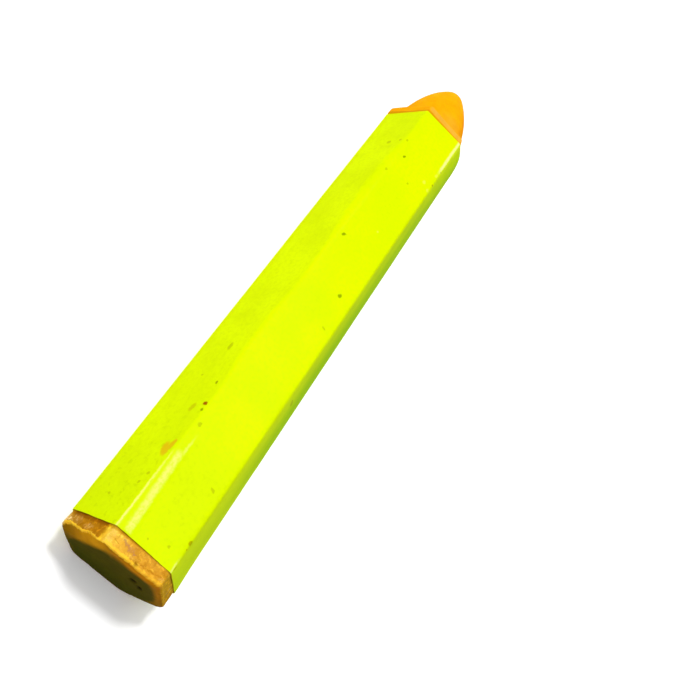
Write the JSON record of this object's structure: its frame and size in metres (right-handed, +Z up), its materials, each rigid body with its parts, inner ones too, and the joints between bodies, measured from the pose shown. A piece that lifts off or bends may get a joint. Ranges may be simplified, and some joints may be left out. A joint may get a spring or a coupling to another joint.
{
  "type": "lumber marking crayon",
  "caption": "Hexagonal wax marking crayon for timber, wrapped in a bright paper sleeve, with a bullet nose and a bare worn butt, lying on one flat.",
  "frame": {"origin": "centre of the bounding box's base, on the surface that the crayon lies on", "axes": "+X along the stick towards the nose, +Z up and square to the flat that it rests on, +Y across the stick, to the left looking towards the nose"},
  "size_m": [0.121, 0.0186, 0.0163],
  "materials": {
    "wax": "satin",
    "wrapper_paper": "satin",
    "dried_paste": "matte"
  },
  "bodies": {
    "root": {"wax_stick": "wax", "paper_wrapper": "wrapper_paper", "lap_glue": "dried_paste"}
  },
  "joints": []
}
